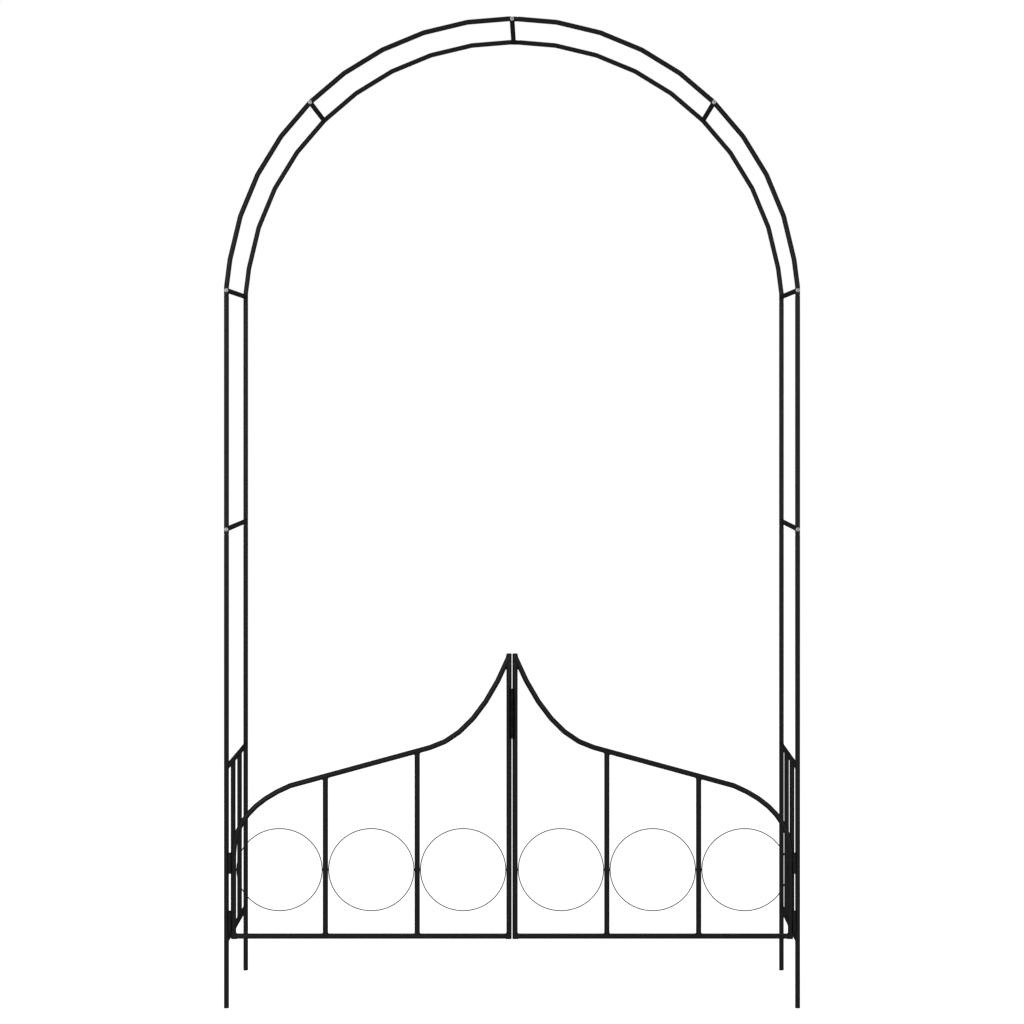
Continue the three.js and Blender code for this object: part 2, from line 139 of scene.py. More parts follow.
# Welds
BEAD_RADIUS = 0.0013
BEAD_PROUD = 0.0002
BEAD_RIPPLE = 0.0016
RIPPLE_SHARE = 0.16
TACK_LENGTH = 0.005
TACK_RADIUS = 0.0007
STITCH_LENGTH = 0.016
BARREL_END_SHARE = 0.25

# Fineness of the grids. A domed end stops the pole share short of its pole, and a fan closes it.
TUBE_SIDES = 32
BEND_STEP = np.radians(2.5)
CORNER_STEPS = 5
SWAGE_ROWS = 13
BOLT_SIDES = 72
HEAD_ROWS = 30
BEAD_SIDES = 12
ROWS_PER_RIPPLE = 5
RING_ROWS = 144
WIRE_SIDES = 16
PLATE_SPOKES = 96
PLATE_CORNER_SPOKES = 9
PLATE_SIDE_POINTS = 60
SOLID_WIRE_SIDES = 6
POLE_SHARE = 0.02

# Photograph: 1024 pixels square. The camera looks straight along Y, and its axis meets the
# photograph at AXIS_PIXEL. The front hoop's ground point in the middle lies at GROUND_PIXEL.
PHOTO_PIXELS = 1024
AXIS_PIXEL = np.array([537.0, 397.5])
GROUND_PIXEL = np.array([512.03, 1007.85])
PIXELS_PER_METRE = 417.3
CAMERA_DISTANCE = 5.885
SENSOR_WIDTH = 36.0

ACROSS = np.array([1.0, 0.0, 0.0])
REARWARD = np.array([0.0, 1.0, 0.0])
UP = np.array([0.0, 0.0, 1.0])


# Places and sizes from the frame

def box(node):
    low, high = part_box(node)
    return np.array(low), np.array(high)


def middle(node):
    low, high = box(node)
    return (low + high) / 2


def size(node):
    low, high = box(node)
    return high - low


post_radius = size("front_left_lower_post")[1] / 2
gate_radius = size("left_leaf_inner_stile")[1] / 2
knuckle_radius = size("left_leaf_lower_hinge_knuckle")[1] / 2
arch_radius = middle("front_right_lower_post")[0]
spring_height = middle("tie_bolt_left_arc")[2] - arch_radius * np.sin(np.pi / 4)
upper_joint = middle("tie_bolt_left_high")[2]
mouth_depth = upper_joint - box("front_left_arc")[0][2]
spigot_reach = box("front_left_upper_post")[1][2] - upper_joint
hoop_planes = {hoop: middle(f"{hoop}_left_lower_post")[1] for hoop in ("front", "rear")}
narrowing = TUBE_WALL + SLIP_CLEARANCE


# Meshes

def closed_shell(grid, ring):
    """Points, quads and triangles of a closed surface. The columns of the grid close on
    themselves. The rows do too on a ring; otherwise each end row closes onto a pole at its middle.
    Columns turn right-handed about the way that the rows of an outer wall run, so that faces
    point out."""
    rows, columns = grid.shape[:2]
    row = np.arange(rows if ring else rows - 1)[:, None] * columns
    column = np.arange(columns)[None, :]
    beside = (column + 1) % columns
    next_row = (row + columns) % (rows * columns)
    quads = np.stack([row + column, row + beside, next_row + beside, next_row + column], axis=-1)
    points = grid.reshape(-1, 3)
    if ring:
        return points, quads.reshape(-1, 4), np.empty((0, 3), int)
    poles = grid[[0, -1]].mean(axis=1)
    first_pole, last_pole = np.full((2, columns), [[rows * columns], [rows * columns + 1]])
    last_row = (rows - 1) * columns
    first_fan = np.stack([first_pole, beside[0], column[0]], axis=-1)
    last_fan = np.stack([last_pole, last_row + column[0], last_row + beside[0]], axis=-1)
    return np.vstack([points, poles]), quads.reshape(-1, 4), np.vstack([first_fan, last_fan])


def piece(name, shells, material, body, node=None):
    """One object from closed shells. It rides on its body and stands for its node of the frame."""
    sizes = np.array([len(points) for points, _, _ in shells])
    offsets = np.cumsum(sizes) - sizes
    points = np.vstack([shell[0] for shell in shells])
    quads = np.vstack([shell[1] + offset for shell, offset in zip(shells, offsets)])
    triangles = np.vstack([shell[2] + offset for shell, offset in zip(shells, offsets)])
    corners = np.concatenate([quads.ravel(), triangles.ravel()])
    quad_starts, triangle_starts = np.arange(len(quads)) * 4, np.arange(len(triangles)) * 3
    starts = np.concatenate([quad_starts, quads.size + triangle_starts])
    mesh = bpy.data.meshes.new(name)
    mesh.vertices.add(len(points))
    mesh.vertices.foreach_set("co", points.astype(np.float32).ravel())
    mesh.loops.add(len(corners))
    mesh.loops.foreach_set("vertex_index", corners.astype(np.int32))
    mesh.polygons.add(len(starts))
    mesh.polygons.foreach_set("loop_start", starts.astype(np.int32))
    mesh.polygons.foreach_set("use_smooth", np.ones(len(starts), bool))
    mesh.update(calc_edges=True)
    mesh.validate()
    mesh.set_sharp_from_angle(angle=SHARP_ANGLE)
    mesh.materials.append(material)
    made = bpy.data.objects.new(name, mesh)
    bpy.context.scene.collection.objects.link(made)
    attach(made, body)
    if node:
        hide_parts(node)


# Centre lines of tubes

class Run:
    """Centre line of a tube in one plane, in stretches that each turn evenly or not at all.
    A stretch of length l and turn a that sets off in direction h ends at the chord
    l sin(a / 2) / (a / 2) in direction h + a / 2. A straight one turns by 0 and its chord is l."""

    def __init__(self, start, across, upward, heading, lengths, turns):
        self.start, self.across, self.upward = start, across, upward
        self.normal = np.cross(across, upward)
        self.lengths, self.turns = np.array(lengths), np.array(turns)
        self.begins = np.concatenate([[0.0], np.cumsum(self.lengths)])
        self.headings = heading + np.concatenate([[0.0], np.cumsum(self.turns)])
        chords = self.chord(np.arange(len(self.lengths)), self.lengths)
        self.corners = start + np.vstack([np.zeros(3), np.cumsum(chords, axis=0)])

    @property
    def length(self):
        return self.begins[-1]

    def ways(self, heading):
        """Direction at a heading, and the side to the left of it."""
        cosine, sine = np.cos(heading)[..., None], np.sin(heading)[..., None]
        return cosine * self.across + sine * self.upward, cosine * self.upward - sine * self.across

    def chord(self, stretch, along):
        half_turn = self.turns[stretch] * along / self.lengths[stretch] / 2
        direction, _ = self.ways(self.headings[stretch] + half_turn)
        return (along * np.sinc(half_turn / np.pi))[..., None] * direction

    def at(self, places):
        """Point, direction and side at each place along the run, which goes on past both ends."""
        found = np.searchsorted(self.begins, places, side="right") - 1
        stretch = np.clip(found, 0, len(self.lengths) - 1)
        along = places - self.begins[stretch]
        turned = self.turns[stretch] * along / self.lengths[stretch]
        direction, side = self.ways(self.headings[stretch] + turned)
        return self.corners[stretch] + self.chord(stretch, along), direction, side

    def stations(self, first, last):
        """Places inside a stretch of the run where its skin needs a row: at both ends of each
        bend, and every few degrees within it."""
        steps = np.maximum(np.ceil(np.abs(self.turns) / BEND_STEP), 1).astype(int)
        stretches = zip(self.begins[:-1], self.begins[1:], steps)
        places = np.concatenate([np.linspace(a, b, n, endpoint=False) for a, b, n in stretches])
        return places[(places > first + 2 * SUPPORT) & (places < last - 2 * SUPPORT)]


def straight_run(start, end):
    """Run along a straight line, with its side as near to X as it can be, or to Z along X."""
    start, end = np.array(start), np.array(end)
    length = np.linalg.norm(end - start)
    direction = (end - start) / length
    level = abs(direction @ ACROSS) > abs(direction @ UP) + abs(direction @ REARWARD)
    side = np.cross(direction, np.cross(UP if level else ACROSS, direction))
    return Run(start, direction, side / np.linalg.norm(side), 0.0, [length], [0.0])


def bent_run(corners, plane):
    """Run in a plane of constant Y through corners (x, z), each rounded to the bend radius r. A
    bend that turns by a takes r tan(a / 2) off the straights on both sides of it."""
    corners = np.array(corners)
    legs = np.diff(corners, axis=0)
    headings = np.unwrap(np.arctan2(legs[:, 1], legs[:, 0]))
    turns = np.diff(headings)
    taken = BEND_RADIUS * np.tan(np.abs(turns) / 2)
    straights = np.linalg.norm(legs, axis=1) - np.append(0, taken) - np.append(taken, 0)
    lengths, bends = np.zeros((2, len(straights) + len(turns)))
    lengths[0::2], lengths[1::2] = straights, BEND_RADIUS * np.abs(turns)
    bends[1::2] = turns
    start = np.array([corners[0, 0], plane, corners[0, 1]])
    return Run(start, ACROSS, UP, headings[0], lengths, bends)


def parabola(first, pull, last, steps):
    """Corners of a bend made in short straights, on the curve (1 - u)^2 first + 2 u (1 - u) pull
    + u^2 last with u from 0 to 1."""
    share = np.linspace(0, 1, steps + 1)[:, None]
    first, pull, last = (np.array(point) for point in (first, pull, last))
    return (1 - share) ** 2 * first + 2 * share * (1 - share) * pull + share**2 * last


# Skins of tubes and turned pieces

def carried(run, places, radii):
    """Grid round a run. Column angle b puts a point at centre + radius (side cos b +
    normal sin b)."""
    point, _, side = run.at(places)
    angles = np.linspace(0, 2 * np.pi, places.shape[1], endpoint=False)[:, None]
    return point + radii[..., None] * (np.cos(angles) * side + np.sin(angles) * run.normal)


def meeting(run, sense, radii, seats, columns):
    """How far past an end of its run each line along a tube's skin goes on to the seat that it
    meets first, for rows of these radii. sense is 1 at the run's last end and -1 at its first. A
    seat is a cylinder (point c, axis a, radius R). With p the line's point at the end, d its
    direction, and w = p - c and d both taken square to a, the line meets the cylinder at the t
    with (w + t d)^2 = R^2."""
    end = run.length if sense > 0 else 0.0
    _, direction, _ = run.at(np.array(end))
    ring = carried(run, np.full((len(radii), columns), end),
                   np.repeat(radii[:, None], columns, axis=1))
    hits = []
    for point, axis, radius in seats:
        away = ring - point
        away = away - (away @ axis)[..., None] * axis
        along = direction - (direction @ axis) * axis
        square, cross = along @ along, away @ along
        root = np.sqrt(np.maximum(cross**2 - square * ((away**2).sum(-1) - radius**2), 0))
        hits.append(sense * (-cross - sense * root) / square)
    return sense * np.min(hits, axis=0) if hits else np.zeros(ring.shape[:2])


def wall_rows(first, last, stations):
    """Rows of one wall of a tube: places, how far the end's edge has rounded off (0 to 1), and
    the end that a row belongs to (-1, 0 or 1). An edge of radius e is a quarter circle: at angle
    b it lies e (1 - sin b) short of the end and e (1 - cos b) in from the wall."""
    turn = np.linspace(np.pi / 2, 0, CORNER_STEPS)
    lead = np.append(RIM_ROUNDING * (1 - np.sin(turn)), RIM_ROUNDING + SUPPORT)
    rounding = np.append(1 - np.cos(turn), 0)
    places = np.concatenate([first + lead, stations, last - lead[::-1]])
    ends = np.repeat([-1, 0, 1], [len(lead), len(stations), len(lead)])
    return places, np.concatenate([rounding, 0 * stations, rounding[::-1]]), ends


def tube_shell(run, radius, seats=((), ()), neck=None):
    """Hollow tube along a run: out along its outer wall and back along its bore, with rounded
    rims and each end cut to the seats that it meets. Past its neck the tube is narrowed to a
    spigot: the radius falls by the narrowing times 3 u^2 - 2 u^3, where u goes from 0 to 1 over
    the swage. The swage's rows start half its length before it and end as far behind it."""
    stations = run.stations(0.0, run.length)
    if neck is not None:
        stations = np.union1d(stations, neck + SWAGE_LENGTH * np.linspace(-0.5, 1.5, SWAGE_ROWS))
    places, rounding, ends = wall_rows(0.0, run.length, stations)
    share = 0 * places if neck is None else np.clip((places - neck) / SWAGE_LENGTH, 0, 1)
    wall = radius - narrowing * share**2 * (3 - 2 * share)
    outer, bore = wall - RIM_ROUNDING * rounding, wall - TUBE_WALL + RIM_ROUNDING * rounding
    places, ends = np.append(places, places[::-1]), np.append(ends, ends[::-1])
    radii = np.append(outer, bore[::-1])
    shifts = [meeting(run, sense, radii, seats[(sense + 1) // 2], TUBE_SIDES) for sense in (-1, 1)]
    shift = np.where(ends[:, None] < 0, shifts[0], np.where(ends[:, None] > 0, shifts[1], 0.0))
    grid = carried(run, places[:, None] + shift, np.repeat(radii[:, None], TUBE_SIDES, axis=1))
    return closed_shell(grid, ring=True)


def rounded(corners, roundings, ring):
    """Profile (place, radius) with its corners rounded. At a corner c the curve is
    (1 - u)^2 a + 2 u (1 - u) c + u^2 b, with u from 0 to 1, between a point a before it and b
    after it. A plain point stands outside each. Without ring, the first and the last corner lie on
    the axis and are left out."""
    corners = np.array(corners)
    before, after = np.roll(corners, 1, axis=0), np.roll(corners, -1, axis=0)
    reach = np.broadcast_to(roundings, len(corners))[:, None]
    if not ring:
        before, corners, after = corners[:-2], corners[1:-1], corners[2:]
        reach = reach[1:-1]
    back, ahead = before - corners, after - corners
    back_side, ahead_side = (np.linalg.norm(leg, axis=1, keepdims=True) for leg in (back, ahead))
    back, ahead = back / back_side, ahead / ahead_side
    reach = np.minimum(reach, SIDE_SHARE * np.minimum(back_side, ahead_side))
    share = np.linspace(0, 1, CORNER_STEPS)[None, :, None]
    first, last = (corners + way * reach for way in (back, ahead))
    curve = ((1 - share) ** 2 * first[:, None] + 2 * share * (1 - share) * corners[:, None]
             + share**2 * last[:, None])
    spare = SUPPORT_SHARE * reach
    lead_reach, tail_reach = (np.minimum(reach + SUPPORT, SIDE_SHARE * side + spare)
                              for side in (back_side, ahead_side))
    lead, tail = corners + back * lead_reach, corners + ahead * tail_reach
    return np.concatenate([lead[:, None], curve, tail[:, None]], axis=1).reshape(-1, 2)


def turned_shell(base, direction, corners, roundings, ring=False, columns=TUBE_SIDES):
    """Turned piece about a line: a rounded profile of (height over the base, radius)."""
    profile = rounded(corners, roundings, ring)
    run = straight_run(base, base + direction)
    places, radii = (np.repeat(values[:, None], columns, axis=1) for values in profile.T)
    return closed_shell(carried(run, places, radii), ring)


def capped_shell(base, height, radius, bore, cap, top_rounding):
    """Upright tube with a blind bore from below: bore and wall are straight lines, and so are its
    ceiling and its top, a cap's thickness apart."""
    ceiling = height - cap
    corners = [[ceiling, 0], [ceiling, bore], [0, bore],
               [0, radius], [height, radius], [height, 0]]
    roundings = [0, RIM_ROUNDING, RIM_ROUNDING, RIM_ROUNDING, top_rounding, 0]
    return turned_shell(base, UP, corners, roundings)


# Hoops

def post_shell(node, mouth_above, closed_foot):
    """Post with a narrowed upper end that goes into the mouth of the tube above it."""
    low, high = box(node)
    base = np.append(middle(node)[:2], low[2])
    end = high[2] - low[2]
    full = mouth_above - SLIP_CLEARANCE - low[2]
    spigot = post_radius - narrowing
    bore = post_radius - TUBE_WALL
    outer = [[0, post_radius], [full - SWAGE_LENGTH, post_radius], [full, spigot], [end, spigot]]
    inner = [[end, spigot - TUBE_WALL], [full, spigot - TUBE_WALL], [full - SWAGE_LENGTH, bore]]
    if closed_foot:
        corners = [[0, 0], *outer, *inner, [FOOT_THICKNESS, bore], [FOOT_THICKNESS, 0]]
    else:
        corners = [*outer, *inner, [0, bore]]
    roundings = np.full(len(corners), RIM_ROUNDING)
    foot = 1 if closed_foot else 0
    swage = foot + np.array([1, 2, 5, 6])
    roundings[swage] = SWAGE_ROUNDING
    if closed_foot:
        roundings[foot] = FOOT_ROUNDING
    return turned_shell(base, UP, corners, roundings, ring=not closed_foot)


def arch_corner(index):
    """Corner of the arched top, counted from the left spring over the crown to the right one."""
    angle = np.pi / 2 * index / BENDS_PER_QUARTER
    return np.array([-arch_radius * np.cos(angle), spring_height + arch_radius * np.sin(angle)])


LEFT_KNEE = spigot_reach + SLIP_CLEARANCE
RIGHT_KNEE = mouth_depth + SLIP_CLEARANCE + 2 * SWAGE_LENGTH + KNEE_ROOM


def crown_joint():
    """Bolt of the crown's slip joint, and the joint's way from right to left. It is straight and
    cuts the corner of the two middle legs, from a knee on the right leg to one on the left leg."""
    corner = arch_corner(BENDS_PER_QUARTER)
    legs = [arch_corner(BENDS_PER_QUARTER + step) - corner for step in (-1, 1)]
    left, right = (leg / np.linalg.norm(leg) for leg in legs)
    aim = left * LEFT_KNEE - right * RIGHT_KNEE
    return middle("tie_bolt_crown")[[0, 2]], aim / np.linalg.norm(aim)


def arc_run(hoop, side):
    """Run of a quarter of the arched top from its mouth on the post to the crown. The right
    quarter's last straight runs on past the crown as the spigot, in the left one's mouth."""
    sign = -1 if side == "left" else 1
    crown, aim = crown_joint()
    inner = np.arange(1, BENDS_PER_QUARTER)
    bends = [arch_corner(bend if sign < 0 else 2 * BENDS_PER_QUARTER - bend) for bend in inner]
    heights = (upper_joint - mouth_depth, upper_joint + spigot_reach + SLIP_CLEARANCE)
    post = [[sign * arch_radius, height] for height in heights]
    ends = (LEFT_KNEE, -mouth_depth) if sign < 0 else (-RIGHT_KNEE, spigot_reach)
    run = bent_run([*post, *bends, *(crown + aim * end for end in ends)], hoop_planes[hoop])
    narrowed = spigot_reach + mouth_depth + SLIP_CLEARANCE + SWAGE_LENGTH
    return run, None if sign < 0 else run.length - narrowed


def hoop_seats(place, plane):
    """Cylinders of a hoop's tube near a crossbar or rail: the post, the two straights that meet
    at an arch corner, or the crown's joint. Below the arch's first corner it is the post."""
    radius = post_radius + WELD_GAP
    spot = np.array([place[0], plane, place[2]])
    if place[2] < arch_corner(1)[1]:
        return [(spot, UP, radius)]
    angle = np.arctan2(place[2] - spring_height, -place[0])
    index = round(angle / (np.pi / 2) * BENDS_PER_QUARTER)
    legs = [arch_corner(index + step) - arch_corner(index) for step in (-1, 1)]
    if index == BENDS_PER_QUARTER:
        legs = [crown_joint()[1]]
    return [(spot, np.array([x, 0.0, z]) / np.hypot(x, z), radius) for x, z in legs]


def tie_run(place):
    """Run of a tube that ties the two hoops, from centre plane to centre plane."""
    start, end = ([place[0], plane, place[2]] for plane in hoop_planes.values())
    return straight_run(start, end), [hoop_seats(place, plane) for plane in hoop_planes.values()]


# Tie bolts

def recess(across, upward):
    """Share of the cross recess's depth at a point of the head: a bar is 1 inside and falls to 0
    over its own half width outside, and the cross is the deeper of two bars."""
    def bar(along, aside):
        side = np.clip(2 - np.abs(aside) / RECESS_HALF_WIDTH, 0, 1)
        tip = np.clip((RECESS_ARM - np.abs(along)) / RECESS_HALF_WIDTH, 0, 1)
        return side * tip
    return np.maximum(bar(across, upward), bar(upward, across))


def tie_bolt_shell(node):
    """Bolt as one skin from the tip of its head to the tip of its nut. The head is the curve
    (r / R)^n + (1 - h / H)^n = 1 with the recess pressed in. The nut's radius is a turned
    profile's, cut off by the hexagon's distance a / cos(angle from the middle of a side)."""
    low, high = box(node)
    x, _, z = middle(node)
    total = high[1] - low[1]
    turn = np.linspace(POLE_SHARE, 1, HEAD_ROWS) * np.pi / 2
    head_radii = HEAD_RADIUS * np.sin(turn) ** (2 / HEAD_ROUNDNESS)
    head_places = HEAD_HEIGHT * (1 - np.cos(turn) ** (2 / HEAD_ROUNDNESS))
    nut_from = total - NUT_HEIGHT - NUT_CAP_HEIGHT
    nut_to = nut_from + NUT_HEIGHT
    flat = NUT_CORNER_RADIUS * np.cos(np.pi / NUT_SIDES)
    shank = [[HEAD_HEIGHT, SHANK_RADIUS], [nut_from, SHANK_RADIUS]]
    widest = NUT_CORNER_RADIUS + NUT_CHAMFER
    nut = [[nut_from, flat], [nut_from + NUT_CHAMFER, widest], [nut_to - NUT_CHAMFER, widest],
           [nut_to, flat]]
    rise = np.linspace(0, 1 - POLE_SHARE, HEAD_ROWS // 2) * np.pi / 2
    cap_radius = flat - NUT_CHAMFER
    cap = np.stack([nut_to + NUT_CAP_HEIGHT * np.sin(rise), cap_radius * np.cos(rise)], axis=-1)
    profile = np.vstack([np.stack([head_places, head_radii], axis=-1), shank, nut, cap])
    places, radii = (np.repeat(values[:, None], BOLT_SIDES, axis=1) for values in profile.T)
    angles = np.linspace(0, 2 * np.pi, BOLT_SIDES, endpoint=False)
    side_turn = 2 * np.pi / NUT_SIDES
    hexagon = flat / np.cos((angles + side_turn / 2) % side_turn - side_turn / 2)
    nut_rows = slice(HEAD_ROWS + len(shank), HEAD_ROWS + len(shank) + len(nut))
    radii[nut_rows] = np.minimum(radii[nut_rows], hexagon)
    pressed = RECESS_DEPTH * recess(radii * np.cos(angles), radii * np.sin(angles))
    places[:HEAD_ROWS] += pressed[:HEAD_ROWS]
    run = straight_run([x, low[1], z], [x, high[1], z])
    return closed_shell(carried(run, places, radii), ring=False)


# Hinges

def knuckle_shell(node):
    """Barrel with a blind bore from below, which drops over the pin."""
    base = np.append(middle(node)[:2], box(node)[0][2])
    bore = PIN_RADIUS + PIN_CLEARANCE
    return capped_shell(base, size(node)[2], knuckle_radius, bore, KNUCKLE_CAP, KNUCKLE_ROUNDING)


def barrel_top(knuckle):
    """Height at which the lower barrel ends, under the knuckle that stands on it."""
    return box(knuckle)[0][2] - PIN_CLEARANCE


def pintle_shell(node, knuckle):
    """Barrel with the pin that stands up into the leaf's knuckle, both straight-sided."""
    base = np.append(middle(node)[:2], box(node)[0][2])
    barrel, height = barrel_top(knuckle) - base[2], size(node)[2]
    corners = [[0, 0], [0, knuckle_radius], [barrel, knuckle_radius], [barrel, PIN_RADIUS],
               [height, PIN_RADIUS], [height, 0]]
    roundings = [0, KNUCKLE_ROUNDING, RIM_ROUNDING, RIM_ROUNDING, KNUCKLE_ROUNDING, 0]
    return turned_shell(base, UP, corners, roundings)


# Gate leaves

class Leaf:
    """Lines of one gate leaf. x along the leaf is 0 at the outer stile and grows towards the
    inner one, and hand is 1 on the left leaf and -1 on the right one."""

    def __init__(self, side):
        self.side, self.hand = side, 1 if side == "left" else -1
        bars = [middle(f"{side}_leaf_bar_{number}") for number in (1, 2)]
        self.bay = abs(bars[1][0] - bars[0][0])
        self.width = 3 * self.bay
        self.hinge_side = bars[0][0] - self.hand * self.bay
        self.plane = bars[0][1]
        stile_low, stile_high = box(f"{side}_leaf_inner_stile")
        self.foot, self.stile_top = stile_low[2], stile_high[2]
        self.rail = middle(f"{side}_leaf_bottom_rail")[2]
        self.ring_middle = middle(f"{side}_leaf_ring_1")[2]
        self.flank_foot = self.ring_middle + SHOULDER_RISE

    def point(self, x, z):
        return np.array([self.hinge_side + self.hand * x, self.plane, z])

    def on_flank(self, x):
        return [x, self.flank_foot + FLANK_SLOPE * x]

    def frame_run(self):
        """Up the outer stile, round the shoulder, along the flank, and up the hollow sweep to the
        inner stile."""
        start, pull = ([0, self.flank_foot - drop] for drop in (SHOULDER_DROP, SHOULDER_PULL_DROP))
        shoulder = parabola(start, pull, self.on_flank(SHOULDER_REACH), SHOULDER_STEPS)
        reaches = (SWEEP_REACH, SWEEP_PULL_REACH)
        leaving, pull = (self.on_flank(self.width - reach) for reach in reaches)
        sweep = parabola(leaving, pull, [self.width, self.flank_foot + SWEEP_RISE], SWEEP_STEPS)
        corners = np.vstack([[0, self.foot], shoulder, sweep])
        corners[:, 0] = self.hinge_side + self.hand * corners[:, 0]
        return bent_run(corners, self.plane)

    def stile_seat(self, x):
        return [(self.point(x, self.foot), UP, gate_radius + WELD_GAP)]

    def rail_seat(self):
        return [(self.point(0, self.rail), ACROSS, gate_radius + WELD_GAP)]

    def flank_seat(self):
        direction = self.hand * ACROSS + FLANK_SLOPE * UP
        direction = direction / np.linalg.norm(direction)
        return [(self.point(0, self.flank_foot), direction, gate_radius + WELD_GAP)]

    def bar_run(self, number):
        x = self.bay * number
        return straight_run(self.point(x, self.rail), self.point(*self.on_flank(x)))

    def rail_run(self):
        return straight_run(self.point(0, self.rail), self.point(self.width, self.rail))


def stile_shell(leaf):
    """Inner stile: open below, with a closed top."""
    base, height = leaf.point(leaf.width, leaf.foot), leaf.stile_top - leaf.foot
    bore = gate_radius - TUBE_WALL
    return capped_shell(base, height, gate_radius, bore, STILE_TOP_THICKNESS, FOOT_ROUNDING)


def ring_shell(node):
    """Wire ring: its centre line is centre + (a cos u, 0, b sin u), and the wire's round section
    stands on the line's outward normal, which goes as (cos u / a, 0, sin u / b), and on Y. The
    solid's wire has few sides, so its box is 2 r sin(a side's angle) deep."""
    span = size(node)
    wire = span[1] / (2 * np.sin(2 * np.pi / SOLID_WIRE_SIDES))
    half_width, half_height = span[0] / 2 - wire, span[2] / 2 - wire
    turn = np.linspace(0, 2 * np.pi, RING_ROWS, endpoint=False)[:, None]
    line = middle(node) + half_width * np.cos(turn) * ACROSS + half_height * np.sin(turn) * UP
    outward = np.cos(turn) / half_width * ACROSS + np.sin(turn) / half_height * UP
    outward = outward / np.linalg.norm(outward, axis=1, keepdims=True)
    angle = np.linspace(0, 2 * np.pi, WIRE_SIDES, endpoint=False)[None, :, None]
    grid = line[:, None] + wire * (np.cos(angle) * outward[:, None] + np.sin(angle) * REARWARD)
    return closed_shell(grid, ring=True)


def latch_shell(node):
    """Plate with two rounded front corners, an eye and rounded edges. Spokes run from the eye's
    centre to the outline, and the skin goes from loop to loop: eye, one face, outline and the
    other face. A loop's radius on a spoke is the eye's or the outline's, less the rounding."""
    low, high = box(node)
    eye = np.array([low[1] + LATCH_RIM + LATCH_EYE_RADIUS, (low[2] + high[2]) / 2])
    quarter = np.linspace(0, np.pi / 2, PLATE_CORNER_SPOKES)
    arc = LATCH_CORNER * np.stack([np.sin(quarter), np.cos(quarter)], axis=-1)
    inset = np.array([low[1], low[2]]) + LATCH_CORNER
    lower = inset - arc
    upper = np.stack([lower[:, 0], low[2] + high[2] - lower[:, 1]], axis=-1)[::-1]
    outline = np.vstack([[high[1], low[2]], lower, upper, [high[1], high[2]]]) - eye
    sides = [np.linspace(start, end, PLATE_SIDE_POINTS, endpoint=False)
             for start, end in zip(outline, np.roll(outline, -1, axis=0))]
    dense = np.concatenate(sides)
    dense_angle = np.arctan2(dense[:, 1], dense[:, 0])
    order = np.argsort(dense_angle)
    corner_angle = np.arctan2(outline[:, 1], outline[:, 0])
    spoke = np.union1d(np.linspace(-np.pi, np.pi, PLATE_SPOKES, endpoint=False), corner_angle)
    reach = np.interp(spoke, dense_angle[order], np.hypot(*dense[order].T), period=2 * np.pi)
    turn = np.linspace(0, np.pi / 2, CORNER_STEPS)
    rounding = LATCH_ROUNDING * (1 - np.cos(turn))
    level = LATCH_ROUNDING * (1 - np.sin(turn))
    rise = np.concatenate([level, [0, 0, 0], level[::-1]])
    inner = LATCH_EYE_RADIUS + np.append(rounding, LATCH_ROUNDING + SUPPORT)
    outer = reach - np.append(LATCH_ROUNDING + SUPPORT, rounding[::-1])[:, None]
    inner = np.repeat(inner[:, None], len(spoke), axis=1)
    face = np.vstack([inner, (inner[-1] + outer[0]) / 2, outer])
    radii = np.vstack([face, face[::-1]])
    depth = np.concatenate([low[0] + rise, (high[0] - rise)[::-1]])[:, None] + 0 * radii
    y, z = eye[0] + radii * np.cos(spoke), eye[1] + radii * np.sin(spoke)
    return closed_shell(np.stack([depth, y, z], axis=-1), ring=True)


def buffer_shell():
    """Strip between the two latch plates, behind their eyes. Its section is a rectangle with a
    quarter circle at each corner, and towards each end it shrinks along such a quarter circle."""
    left_low, left_high = box("left_leaf_latch_plate")
    right_face = box("right_leaf_latch_plate")[0][0]
    rear = left_high[1] - BUFFER_INSET
    low = np.array([left_high[0] - BUFFER_SEAT, rear - BUFFER_DEPTH, left_low[2] + BUFFER_INSET])
    high = np.array([right_face - BUFFER_CLEARANCE, rear, left_high[2] - BUFFER_INSET])
    turn = np.linspace(0, np.pi / 2, CORNER_STEPS)
    angles = np.concatenate([turn + quarter * np.pi / 2 for quarter in range(4)])
    corner = np.repeat([[1, 1], [-1, 1], [-1, -1], [1, -1]], CORNER_STEPS, axis=0)
    square = (high - low)[:2] / 2 - BUFFER_ROUNDING
    around = np.stack([np.cos(angles), np.sin(angles)], axis=-1)
    radius = np.concatenate([BUFFER_ROUNDING * np.sin(turn), BUFFER_ROUNDING * np.sin(turn)[::-1]])
    rise = BUFFER_ROUNDING * (1 - np.cos(turn))
    heights = np.concatenate([low[2] + rise, high[2] - rise[::-1]])
    flat = (low + high)[:2] / 2 + corner * square + radius[:, None, None] * around
    upright = np.broadcast_to(heights[:, None, None], flat.shape[:2] + (1,))
    return closed_shell(np.concatenate([flat, upright], axis=-1), ring=False)


# Welds

def ripples(count, phase):
    """Radius of a bead along its length as a share: one soft crest per ripple, and a slow
    swell."""
    turn = np.linspace(0, 2 * np.pi, ROWS_PER_RIPPLE * count, endpoint=False)
    crest = np.abs(np.cos(count * turn / 2 + phase))
    return 1 - RIPPLE_SHARE + RIPPLE_SHARE * crest + RIPPLE_SHARE / 2 * np.sin(2 * turn + phase)


